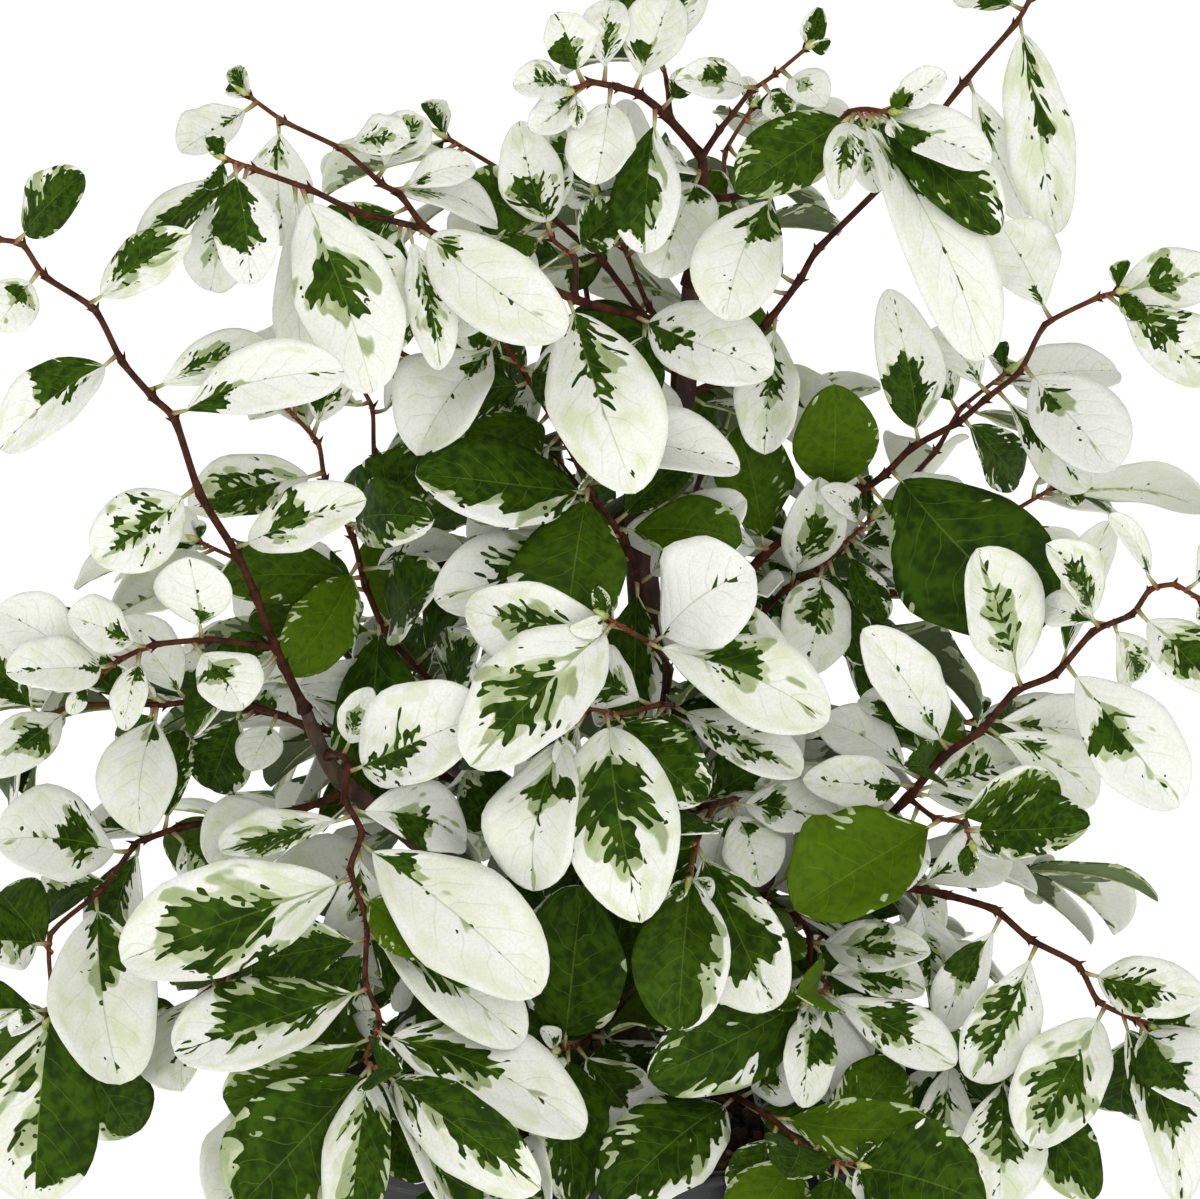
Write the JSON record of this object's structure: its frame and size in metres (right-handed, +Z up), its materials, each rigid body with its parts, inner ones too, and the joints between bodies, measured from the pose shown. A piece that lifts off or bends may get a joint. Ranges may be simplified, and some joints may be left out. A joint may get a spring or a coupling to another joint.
{
  "type": "snow bush bonsai in a pot",
  "caption": "Variegated shrub grown as a small bonsai: a slender trunk with zig-zag leafy stems in white and green, standing in an oval dark pot of soil.",
  "frame": {"origin": "centre of the pot's flat underside", "axes": "+Z up the trunk, +X along the pot's long side, -Y towards the front of the tree"},
  "size_m": [0.273, 0.233, 0.297],
  "materials": {
    "glaze": "dark charcoal glaze, satin",
    "mesh_plastic": "matt black plastic mesh",
    "soil": "loose dark granular bonsai soil",
    "bark": "grey-brown bark, reddish on young wood",
    "foliage": "soft satin leaves, cream-white with dark and sage green patches, on thin reddish-brown stems"
  },
  "bodies": {
    "root": {"drain_mesh_left": "mesh_plastic", "drain_mesh_right": "mesh_plastic", "pot": "glaze", "soil": "soil", "spray_centre": "foliage", "spray_centre_left": "foliage", "spray_crown_inner": "foliage", "spray_fill_01": "foliage", "spray_fill_02": "foliage", "spray_fill_03": "foliage", "spray_fill_04": "foliage", "spray_fill_05": "foliage", "spray_fill_06": "foliage", "spray_fill_07": "foliage", "spray_fill_08": "foliage", "spray_fill_09": "foliage", "spray_fill_10": "foliage", "spray_fill_11": "foliage", "spray_fill_12": "foliage", "spray_fill_13": "foliage", "spray_fill_14": "foliage", "spray_fill_15": "foliage", "spray_fill_16": "foliage", "spray_fill_17": "foliage", "spray_fill_18": "foliage", "spray_fill_19": "foliage", "spray_fill_20": "foliage", "spray_fill_21": "foliage", "spray_fill_22": "foliage", "spray_fill_23": "foliage", "spray_fill_24": "foliage", "spray_fill_25": "foliage", "spray_front": "foliage", "spray_front_left": "foliage", "spray_front_low": "foliage", "spray_leader": "foliage", "spray_left_behind": "foliage", "spray_left_high": "foliage", "spray_left_long": "foliage", "spray_left_low": "foliage", "spray_left_mid": "foliage", "spray_low_centre": "foliage", "spray_low_outer": "foliage", "spray_low_right": "foliage", "spray_right": "foliage", "spray_right_droop": "foliage", "spray_right_high": "foliage", "spray_right_inner": "foliage", "spray_right_low": "foliage", "spray_right_mid": "foliage", "trunk": "bark"}
  },
  "joints": []
}
